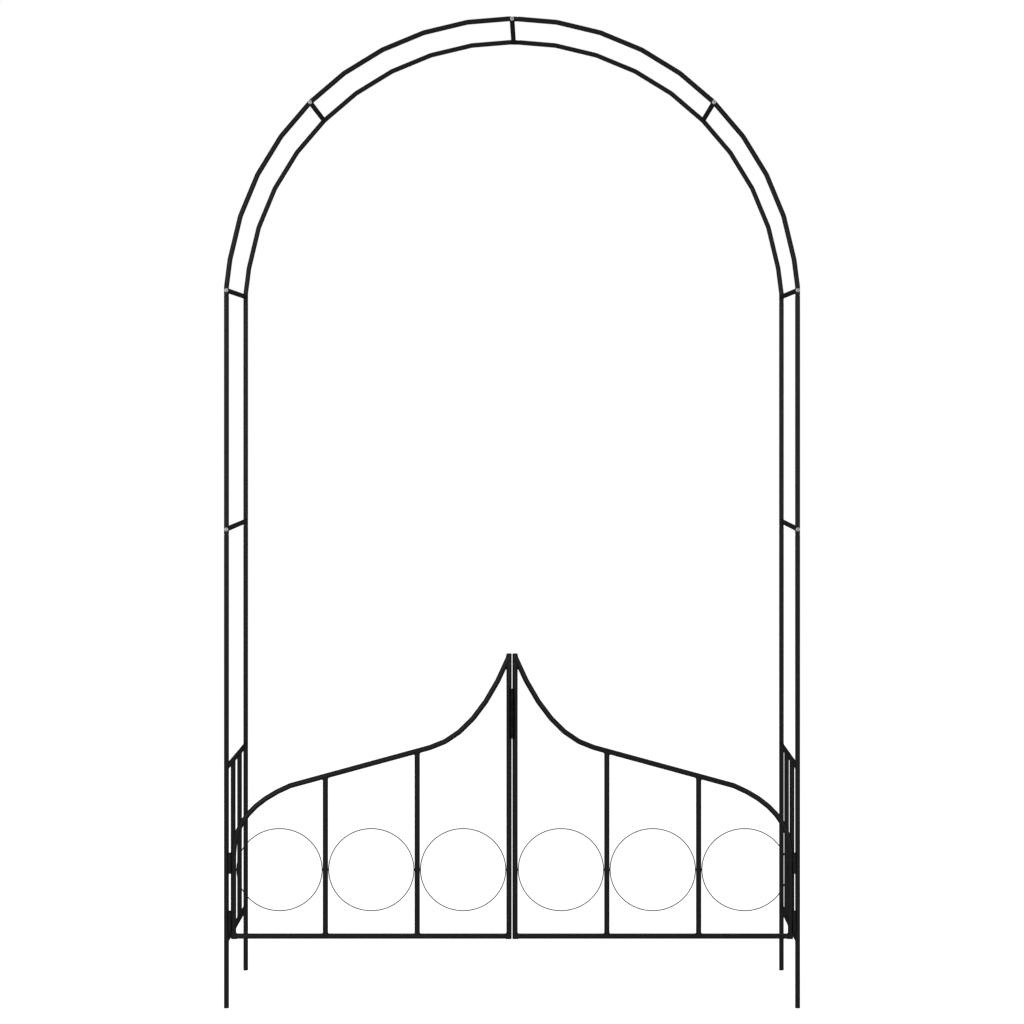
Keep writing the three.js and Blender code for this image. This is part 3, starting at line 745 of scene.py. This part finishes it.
def saddle_bead(run, sense, radius, seats, phase):
    """Bead round a tube's cut end: its centre line runs a little outside both walls, and its
    section is a circle spanned by the tube's radius and its direction. Where the wall lies flush
    with the seat's, the bead sinks in: by its radius times w^2, where w is the cosine between
    the two walls' normals, which is r / R times the square of the tube's normal along the way
    that is square to both axes."""
    proud = radius + BEAD_PROUD
    count = round(2 * np.pi * radius / BEAD_RIPPLE)
    rows = ROWS_PER_RIPPLE * count
    seats = [(point, axis, seat + BEAD_PROUD) for point, axis, seat in seats]
    end = run.length if sense > 0 else 0.0
    places = end + meeting(run, sense, np.array([proud]), seats, rows)
    line = carried(run, places, np.full((1, rows), proud))[0]
    _, direction, _ = run.at(np.array(end))
    centre = carried(run, places, np.zeros((1, rows)))[0]
    outward = (line - centre) / proud
    aside = np.cross(direction, seats[0][1])
    flush = radius / seats[0][2] * (outward @ aside) ** 2 / (aside @ aside)
    line = line - (BEAD_RADIUS + BEAD_PROUD) * (flush**2)[:, None] * outward
    angle = np.linspace(0, 2 * np.pi, BEAD_SIDES, endpoint=False)[None, :, None]
    thick = (BEAD_RADIUS * ripples(count, phase))[:, None, None]
    grid = line[:, None] + thick * (np.cos(angle) * outward[:, None] - np.sin(angle) * direction)
    return closed_shell(grid, ring=True)


def line_bead(start, end, phase, radius=BEAD_RADIUS):
    """Straight bead. With u from -1 to 1 along it, its radius follows the root of 1 - u^4."""
    length = np.linalg.norm(end - start)
    count = max(round(length / BEAD_RIPPLE), 2)
    reach = 1 - POLE_SHARE
    share = np.sin(np.linspace(-reach, reach, ROWS_PER_RIPPLE * count) * np.pi / 2)
    radii = radius * ripples(count, phase) * np.sqrt(1 - share**4)
    rows = ((share + 1) / 2 * length, radii)
    places, radii = (np.repeat(values[:, None], BEAD_SIDES, axis=1) for values in rows)
    return closed_shell(carried(straight_run(start, end), places, radii), ring=False)


def groove(first, first_radius, second, second_radius, forward):
    """Point (x, y) at these distances from two upright axes: on the front side of the line that
    joins them with forward 1, or behind it with -1. With d the axes' distance, the point lies
    (d^2 + r1^2 - r2^2) / 2d along that line."""
    across = second - first
    distance = np.linalg.norm(across)
    along = (distance**2 + first_radius**2 - second_radius**2) / (2 * distance)
    aside = np.sqrt(max(first_radius**2 - along**2, 0))
    unit = across / distance
    front = np.array([unit[1], -unit[0]])
    front = front if front[1] < 0 else -front
    return first + unit * along + forward * aside * front


def barrel_beads(barrel, top, tube_axis, tube_radius, phase):
    """Beads in the grooves before and behind a hinge barrel, where it lies along a tube. They
    stop short of its foot and of its top by a share of its radius."""
    margin = BARREL_END_SHARE * knuckle_radius
    ends = (box(barrel)[0][2] + margin, top - margin)
    reaches = (knuckle_radius + BEAD_PROUD, tube_axis, tube_radius + BEAD_PROUD)
    spots = {forward: groove(middle(barrel)[:2], *reaches, forward) for forward in (-1, 1)}
    return [line_bead(*(np.append(spot, end) for end in ends), phase + forward)
            for forward, spot in spots.items()]


# Finishes

def set_values(made, values):
    """Values for the inputs of a shader node that nothing feeds."""
    for name, value in values.items():
        made.inputs[name].default_value = value


def shader_node(tree, kind, values=None, **settings):
    made = tree.nodes.new(kind)
    for name, value in settings.items():
        setattr(made, name, value)
    set_values(made, values or {})
    return made


def join(tree, pairs):
    for output, socket in pairs:
        tree.links.new(output, socket)


def new_material(name):
    """Material with its node tree and its shader."""
    material = bpy.data.materials.new(name)
    material.use_nodes = True
    return material, material.node_tree, material.node_tree.nodes["Principled BSDF"]


DRIFT_SCALE, DRIFT_DETAIL = 38.0, 4.0
DRIFT_FROM, DRIFT_TO = 0.42, 0.72
DUST_ROUGHNESS = 0.12
DUST_DULLING = 0.35
PEEL_DETAIL = 2.0
PEEL_LEAST_SHINE, PEEL_MOST_SHINE = 0.7, 1.3
COAT_SOCKETS = {
    "INPUT": {"Coordinates": "Vector", "Colour": "Color", "Dusty colour": "Color",
              "Roughness": "Float", "Gloss": "Float", "Peel scale": "Float"},
    "OUTPUT": {"Colour": "Color", "Roughness": "Float", "Gloss": "Float", "Height": "Float"},
}


def coat_group():
    """Powder coat: the orange peel's height, and the colour, roughness and gloss. Dust that drifts
    slowly over the coat greys it and dulls it, and the gloss is higher on the peel's crests."""
    tree = bpy.data.node_groups.new("powder_coat_surface", "ShaderNodeTree")
    for way, sockets in COAT_SOCKETS.items():
        for name, kind in sockets.items():
            tree.interface.new_socket(name, in_out=way, socket_type=f"NodeSocket{kind}")
    given, out = shader_node(tree, "NodeGroupInput"), shader_node(tree, "NodeGroupOutput")
    drift = shader_node(tree, "ShaderNodeTexNoise", {"Scale": DRIFT_SCALE, "Detail": DRIFT_DETAIL})
    peel = shader_node(tree, "ShaderNodeTexNoise", {"Detail": PEEL_DETAIL})
    dust = shader_node(tree, "ShaderNodeMapRange", {"From Min": DRIFT_FROM, "From Max": DRIFT_TO},
                       interpolation_type="SMOOTHSTEP")
    colour = shader_node(tree, "ShaderNodeMix", data_type="RGBA")
    rougher = shader_node(tree, "ShaderNodeMath", {1: DUST_ROUGHNESS}, operation="MULTIPLY_ADD")
    duller = shader_node(tree, "ShaderNodeMath", {1: -DUST_DULLING, 2: 1.0},
                         operation="MULTIPLY_ADD")
    crests = shader_node(tree, "ShaderNodeMapRange",
                         {"To Min": PEEL_LEAST_SHINE, "To Max": PEEL_MOST_SHINE})
    shine, gloss = (shader_node(tree, "ShaderNodeMath", operation="MULTIPLY") for _ in range(2))
    join(tree, [
        (given.outputs["Coordinates"], drift.inputs["Vector"]),
        (given.outputs["Coordinates"], peel.inputs["Vector"]),
        (given.outputs["Peel scale"], peel.inputs["Scale"]),
        (drift.outputs["Fac"], dust.inputs["Value"]),
        (dust.outputs["Result"], colour.inputs["Factor"]),
        (given.outputs["Colour"], colour.inputs["A"]),
        (given.outputs["Dusty colour"], colour.inputs["B"]),
        (dust.outputs["Result"], rougher.inputs[0]),
        (given.outputs["Roughness"], rougher.inputs[2]),
        (dust.outputs["Result"], duller.inputs[0]),
        (peel.outputs["Fac"], crests.inputs["Value"]),
        (duller.outputs[0], shine.inputs[0]),
        (crests.outputs["Result"], shine.inputs[1]),
        (shine.outputs[0], gloss.inputs[0]),
        (given.outputs["Gloss"], gloss.inputs[1]),
        (colour.outputs["Result"], out.inputs["Colour"]),
        (rougher.outputs[0], out.inputs["Roughness"]),
        (gloss.outputs[0], out.inputs["Gloss"]),
        (peel.outputs["Fac"], out.inputs["Height"]),
    ])
    return tree


COAT_COLOUR = (0.005, 0.005, 0.0052, 1.0)
COAT_DUSTY_COLOUR = (0.0085, 0.0085, 0.0088, 1.0)
COAT_GLOSS = 0.021
COAT_IOR = 4.0


def coated(name, group, roughness, peel_scale, peel_height):
    """Black powder coat over steel. Its sheen is a thin clear coat's alone, whose high IOR makes
    it nearly as strong square on as at a glancing angle, so that tubes seen nearly along their
    length stay black."""
    material, tree, shader = new_material(name)
    set_values(shader, {"Specular IOR Level": 0.0, "Coat IOR": COAT_IOR,
                        "Coat Roughness": roughness})
    surface = shader_node(tree, "ShaderNodeGroup", {
        "Colour": COAT_COLOUR, "Dusty colour": COAT_DUSTY_COLOUR, "Roughness": roughness,
        "Gloss": COAT_GLOSS, "Peel scale": peel_scale}, node_tree=group)
    place = shader_node(tree, "ShaderNodeTexCoord")
    bump = shader_node(tree, "ShaderNodeBump", {"Distance": peel_height, "Strength": 1.0})
    join(tree, [
        (place.outputs["Object"], surface.inputs["Coordinates"]),
        (surface.outputs["Colour"], shader.inputs["Base Color"]),
        (surface.outputs["Roughness"], shader.inputs["Roughness"]),
        (surface.outputs["Gloss"], shader.inputs["Coat Weight"]),
        (surface.outputs["Height"], bump.inputs["Height"]),
        (bump.outputs["Normal"], shader.inputs["Normal"]),
    ])
    return material


ZINC_CLOUD_SCALE, ZINC_CLOUD_DETAIL = 900.0, 5.0
ZINC_SHADES = ((0.35, (0.22, 0.22, 0.222, 1.0)), (0.68, (0.34, 0.34, 0.343, 1.0)))
ZINC_SMOOTHEST, ZINC_ROUGHEST = 0.24, 0.42


def zinc_plated(name):
    """Bright zinc: a metal with fine clouds in its colour and its gloss."""
    material, tree, shader = new_material(name)
    set_values(shader, {"Metallic": 1.0})
    place = shader_node(tree, "ShaderNodeTexCoord")
    clouds = shader_node(tree, "ShaderNodeTexNoise",
                         {"Scale": ZINC_CLOUD_SCALE, "Detail": ZINC_CLOUD_DETAIL})
    ramp = shader_node(tree, "ShaderNodeValToRGB")
    for stop, (position, shade) in zip(ramp.color_ramp.elements, ZINC_SHADES):
        stop.position, stop.color = position, shade
    gloss = shader_node(tree, "ShaderNodeMapRange",
                        {"To Min": ZINC_SMOOTHEST, "To Max": ZINC_ROUGHEST})
    join(tree, [
        (place.outputs["Object"], clouds.inputs["Vector"]),
        (clouds.outputs["Fac"], ramp.inputs["Fac"]),
        (ramp.outputs["Color"], shader.inputs["Base Color"]),
        (clouds.outputs["Fac"], gloss.inputs["Value"]),
        (gloss.outputs["Result"], shader.inputs["Roughness"]),
    ])
    return material


SURFACES = {
    "black_coat_on_tube": {"roughness": 0.34, "peel_scale": 900, "peel_height": 0.00002},
    "black_coat_on_wire": {"roughness": 0.38, "peel_scale": 1400, "peel_height": 0.00002},
    "black_coat_on_weld": {"roughness": 0.38, "peel_scale": 1800, "peel_height": 0.00003},
    "black_coat_on_plate": {"roughness": 0.32, "peel_scale": 1100, "peel_height": 0.00002},
    "black_rubber_on_buffer": {"roughness": 0.7, "peel_scale": 2400, "peel_height": 0.00001},
}
surface_group = coat_group()
tube_coat, wire_coat, weld_coat, plate_coat, buffer_rubber = (
    coated(name, surface_group, **look) for name, look in SURFACES.items())
bolt_zinc = zinc_plated("bright_zinc_on_bolt")


# Assembly

beads = {"arch": [], "left_leaf": [], "right_leaf": []}


def finished(node, shell, material=tube_coat):
    """The finished piece of one node, on the node's own body."""
    body = frame["nodes"][node]["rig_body"]
    piece(f"{node}_finished", [shell], material, body, node)


def welded_tube(node, run, seats, radius, body, weld_ends=(True, True)):
    """Tube cut to its seats, with a bead round each welded end."""
    finished(node, tube_shell(run, radius, seats))
    for welded, sense in zip(weld_ends, (-1, 1)):
        if welded:
            phase = float(len(beads[body]))
            beads[body].append(saddle_bead(run, sense, radius, seats[(sense + 1) // 2], phase))


def make_hoop(hoop):
    for side in ("left", "right"):
        parts = ("lower_post", "upper_post", "arc")
        lower, upper, arc = (f"{hoop}_{side}_{part}" for part in parts)
        finished(lower, post_shell(lower, box(upper)[0][2], closed_foot=True))
        finished(upper, post_shell(upper, box(arc)[0][2], closed_foot=False))
        run, neck = arc_run(hoop, side)
        finished(arc, tube_shell(run, post_radius, neck=neck))


TIES = ("left_low", "left_high", "left_arc", "crown", "right_arc", "right_high", "right_low")


def make_ties():
    for place in TIES:
        run, seats = tie_run(middle(f"tie_bolt_{place}"))
        finished(f"crossbar_{place}", tube_shell(run, post_radius, seats))
        finished(f"tie_bolt_{place}", tie_bolt_shell(f"tie_bolt_{place}"), bolt_zinc)


def make_panel(side):
    rails = {level: middle(f"{side}_panel_{level}_rail") for level in ("bottom", "top")}
    for level, place in rails.items():
        run, seats = tie_run(place)
        welded_tube(f"{side}_panel_{level}_rail", run, seats, post_radius, "arch")
    for number in (1, 2):
        bar = f"{side}_panel_bar_{number}"
        x, y, _ = middle(bar)
        run = straight_run([x, y, rails["bottom"][2]], [x, y, rails["top"][2]])
        seats = [[(rail, REARWARD, post_radius + WELD_GAP)] for rail in rails.values()]
        welded_tube(bar, run, seats, post_radius, "arch")


def make_leaf(side):
    leaf = Leaf(side)
    body = f"{side}_leaf"
    frame_seats = [[], leaf.stile_seat(leaf.width)]
    welded_tube(f"{body}_frame_tube", leaf.frame_run(), frame_seats, gate_radius, body,
                weld_ends=(False, True))
    finished(f"{body}_inner_stile", stile_shell(leaf))
    rail_seats = [leaf.stile_seat(0), leaf.stile_seat(leaf.width)]
    welded_tube(f"{body}_bottom_rail", leaf.rail_run(), rail_seats, gate_radius, body)
    for number in (1, 2):
        seats = [leaf.rail_seat(), leaf.flank_seat()]
        welded_tube(f"{body}_bar_{number}", leaf.bar_run(number), seats, gate_radius, body)
    for number in (1, 2, 3):
        ring = f"{body}_ring_{number}"
        finished(ring, ring_shell(ring), wire_coat)
        for corner in box(ring):
            spot, half = np.array([corner[0], leaf.plane, leaf.ring_middle]), TACK_LENGTH / 2 * UP
            beads[body].append(line_bead(spot - half, spot + half, float(number), TACK_RADIUS))
    plate = f"{body}_latch_plate"
    finished(plate, latch_shell(plate), plate_coat)
    weld_latch(plate, leaf, body)
    for level in ("lower", "upper"):
        make_hinge(side, level, leaf)


def weld_latch(plate, leaf, body):
    """Short stitches along the plate's face that looks towards the hinges, where it meets the
    stile's front quarter."""
    low, high = box(plate)
    face = low[0] if leaf.hand > 0 else high[0]
    x = face - leaf.hand * BEAD_PROUD
    stile = leaf.point(leaf.width, 0)
    reach = gate_radius + BEAD_PROUD
    y = stile[1] - np.sqrt(reach**2 - (x - stile[0]) ** 2)
    for stitch in range(LATCH_STITCHES):
        z = low[2] + (high[2] - low[2]) * (stitch + 0.5) / LATCH_STITCHES
        spot, half = np.array([x, y, z]), STITCH_LENGTH / 2 * UP
        beads[body].append(line_bead(spot - half, spot + half, float(stitch)))


def make_hinge(side, level, leaf):
    knuckle = f"{side}_leaf_{level}_hinge_knuckle"
    pintle = f"{side}_post_{level}_hinge_pintle"
    finished(knuckle, knuckle_shell(knuckle))
    finished(pintle, pintle_shell(pintle, knuckle))
    stile, post = leaf.point(0, 0)[:2], middle(f"front_{side}_lower_post")[:2]
    top = box(knuckle)[1][2]
    beads[f"{side}_leaf"] += barrel_beads(knuckle, top, stile, gate_radius, phase=1.0)
    beads["arch"] += barrel_beads(pintle, barrel_top(knuckle), post, post_radius, phase=2.0)


for hoop in ("front", "rear"):
    make_hoop(hoop)
make_ties()
for side in ("left", "right"):
    make_panel(side)
    make_leaf(side)
piece("left_leaf_latch_buffer", [buffer_shell()], buffer_rubber, "left_leaf")
for body, shells in beads.items():
    piece(f"{body}_weld_beads", shells, weld_coat, body)


# Studio

def white_where_seen(tree, shown, lighting):
    """Strength of a white surface: as shown for rays from the camera, reflections and glass, and
    as lighting for the light that falls on the object."""
    rays = shader_node(tree, "ShaderNodeLightPath")
    direct, seen = (shader_node(tree, "ShaderNodeMath", operation="MAXIMUM") for _ in range(2))
    strength = shader_node(tree, "ShaderNodeMapRange", {"To Min": lighting, "To Max": shown})
    join(tree, [
        (rays.outputs["Is Camera Ray"], direct.inputs[0]),
        (rays.outputs["Is Glossy Ray"], direct.inputs[1]),
        (direct.outputs[0], seen.inputs[0]),
        (rays.outputs["Is Transmission Ray"], seen.inputs[1]),
        (seen.outputs[0], strength.inputs["Value"]),
    ])
    return strength.outputs["Result"]


WHITE = (1.0, 1.0, 1.0, 1.0)
FLOOR_HALF_SIDE = 30.0
FLOOR_COLOUR = (0.35, 0.35, 0.35, 1.0)
FLOOR_GLOW = 0.82
SKY_LIGHTING = 0.55


def make_floor():
    half = FLOOR_HALF_SIDE
    mesh = bpy.data.meshes.new("studio_floor")
    corners = [(-half, -half, 0.0), (half, -half, 0.0), (half, half, 0.0), (-half, half, 0.0)]
    mesh.from_pydata(corners, [], [(0, 1, 2, 3)])
    material, tree, shader = new_material("pale_floor")
    set_values(shader, {"Base Color": FLOOR_COLOUR, "Emission Color": WHITE, "Roughness": 1.0,
                        "Specular IOR Level": 0.0})
    join(tree, [(white_where_seen(tree, FLOOR_GLOW, 0.0), shader.inputs["Emission Strength"])])
    mesh.materials.append(material)
    floor = bpy.data.objects.new("studio_floor", mesh)
    bpy.context.scene.collection.objects.link(floor)


def make_sky():
    world = bpy.data.worlds.new("studio_sky")
    world.use_nodes = True
    tree = world.node_tree
    background = tree.nodes["Background"]
    set_values(background, {"Color": WHITE})
    join(tree, [(white_where_seen(tree, 1.0, SKY_LIGHTING), background.inputs["Strength"])])
    bpy.context.scene.world = world


# Place, side length and power of each square lamp
LAMPS = {
    "key_softbox": ((-3.0, -5.4, 2.1), 2.4, 180.0),
    "fill_softbox": ((3.6, -4.8, 1.5), 2.4, 90.0),
    "top_softbox": ((0.4, 1.6, 5.2), 3.0, 120.0),
}


def make_lamps():
    target = (cad_low + cad_high) / 2
    for name, (place, side, power) in LAMPS.items():
        lamp = bpy.data.lights.new(name, "AREA")
        lamp.size, lamp.energy = side, power
        made = bpy.data.objects.new(name, lamp)
        made.location = place
        made.rotation_euler = (target - made.location).to_track_quat("-Z", "Y").to_euler()
        bpy.context.scene.collection.objects.link(made)


def make_camera():
    """Camera that sees the front hoop's plane at the photograph's scale: a pixel's width there
    over the distance is a pixel's width on the sensor over the lens's length."""
    camera = bpy.data.cameras.new("camera")
    camera.sensor_width = SENSOR_WIDTH
    camera.lens = SENSOR_WIDTH * CAMERA_DISTANCE * PIXELS_PER_METRE / PHOTO_PIXELS
    offset = (PHOTO_PIXELS / 2 - AXIS_PIXEL) / PHOTO_PIXELS
    camera.shift_x, camera.shift_y = offset[0], -offset[1]
    made = bpy.data.objects.new("camera", camera)
    across, upward = (AXIS_PIXEL - GROUND_PIXEL) / PIXELS_PER_METRE
    made.location = (across, hoop_planes["front"] - CAMERA_DISTANCE, -upward)
    made.rotation_euler = (np.pi / 2, 0.0, 0.0)
    bpy.context.scene.collection.objects.link(made)
    bpy.context.scene.camera = made


make_floor()
make_sky()
make_lamps()
make_camera()
bpy.context.scene.view_settings.view_transform = "Standard"
